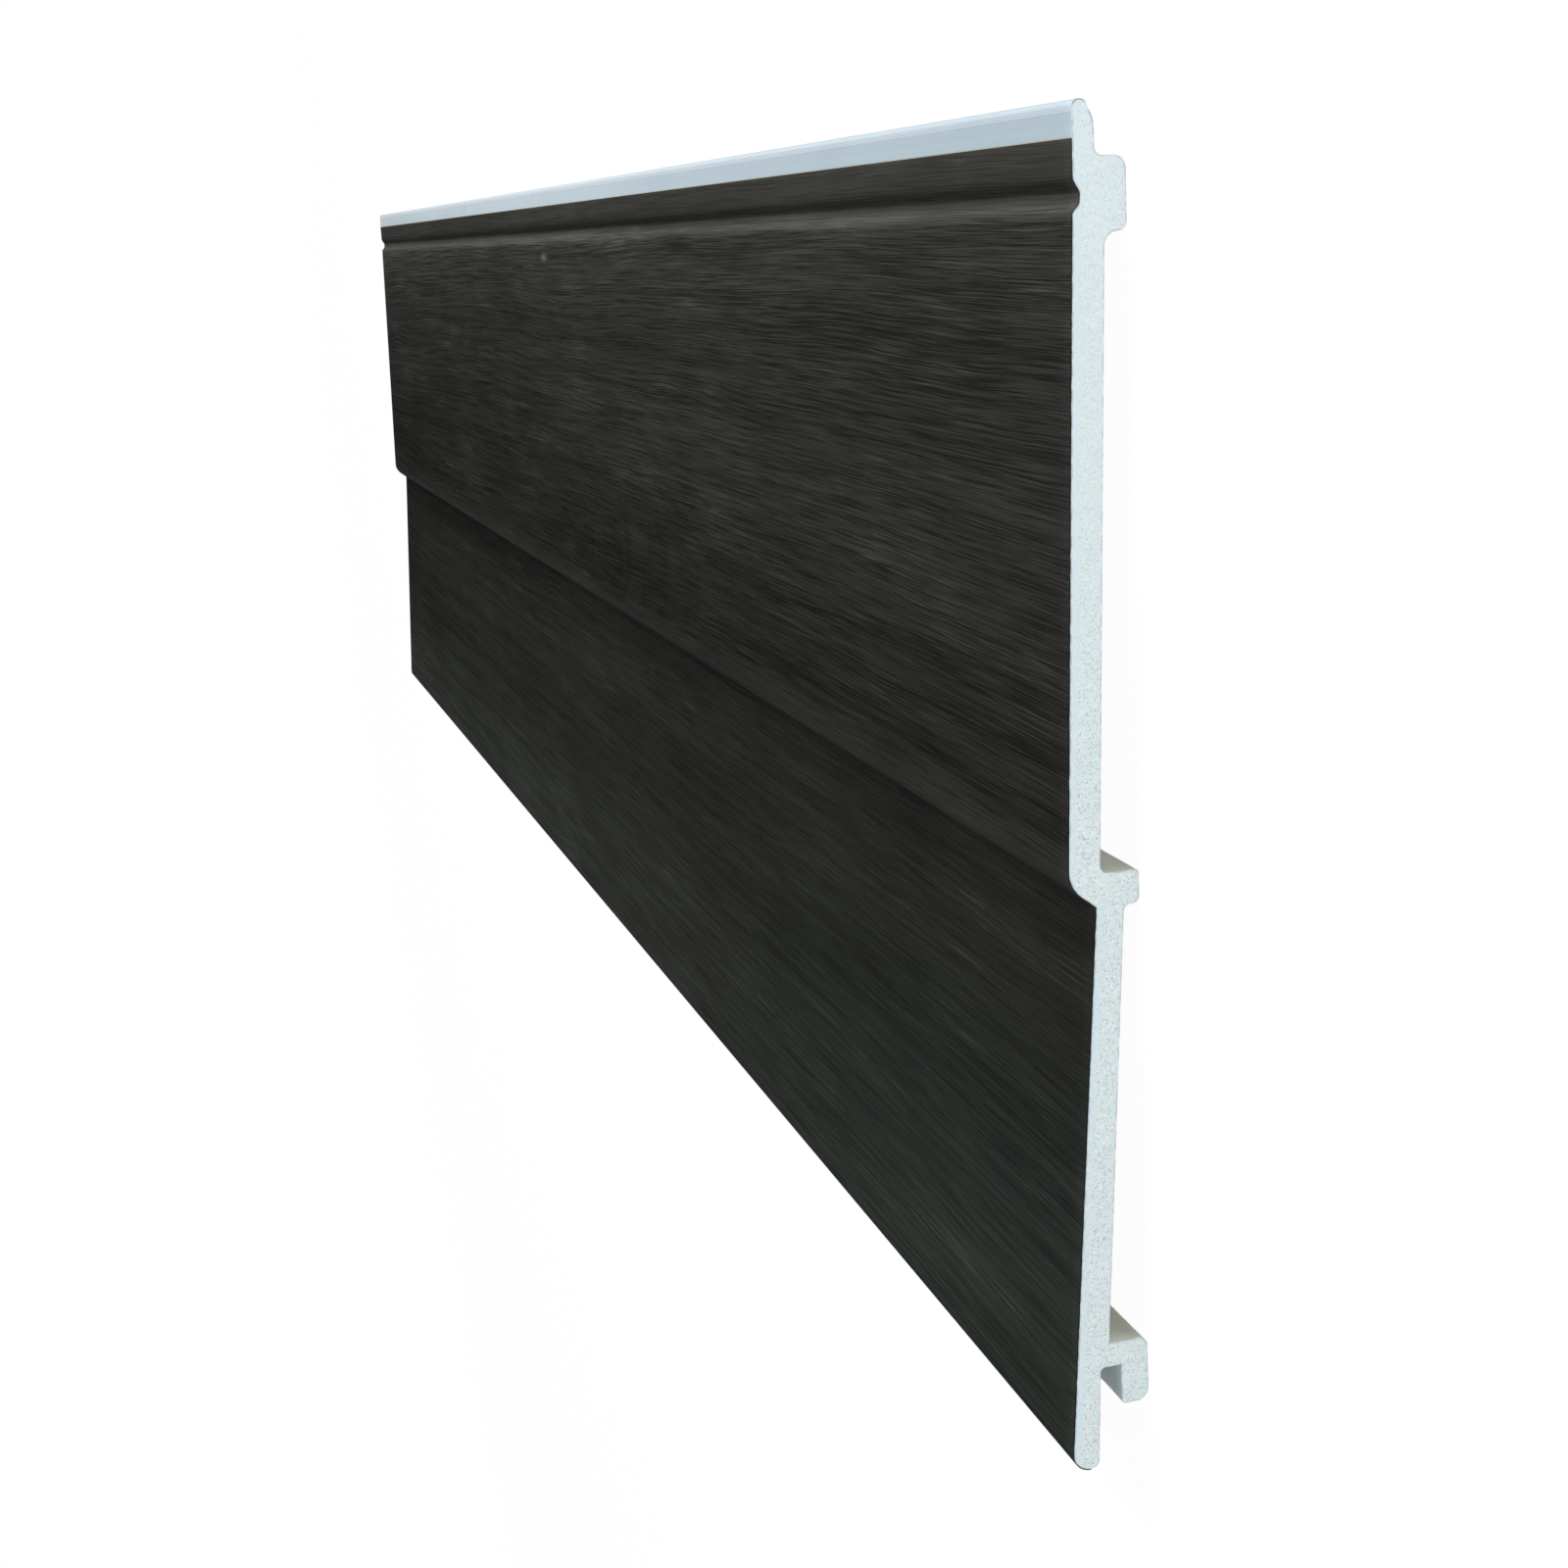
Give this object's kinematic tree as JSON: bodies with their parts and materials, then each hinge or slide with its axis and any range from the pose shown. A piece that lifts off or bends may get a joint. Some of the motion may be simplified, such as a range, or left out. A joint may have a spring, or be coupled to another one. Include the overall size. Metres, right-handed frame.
{
  "type": "feather edge cladding board",
  "caption": "Foamed plastic wall cladding board with two feather edge courses, a woodgrain foil face, a tongue and nailing flange along the top edge and a slotted hook behind the bottom leaf.",
  "frame": {"origin": "on the wall plane, under the middle of the board's length and width", "axes": "+X along the board, +Y across it from the leaf towards the tongue, +Z from the wall side to the weather face"},
  "size_m": [1.3, 0.3618, 0.0228],
  "materials": {
    "foamed_board": "pale foamed core with a smooth closed skin",
    "woodgrain_foil": "satin, embossed oak grain along the length"
  },
  "bodies": {
    "root": {"board": "foamed_board", "face_foil": "woodgrain_foil"}
  },
  "joints": []
}
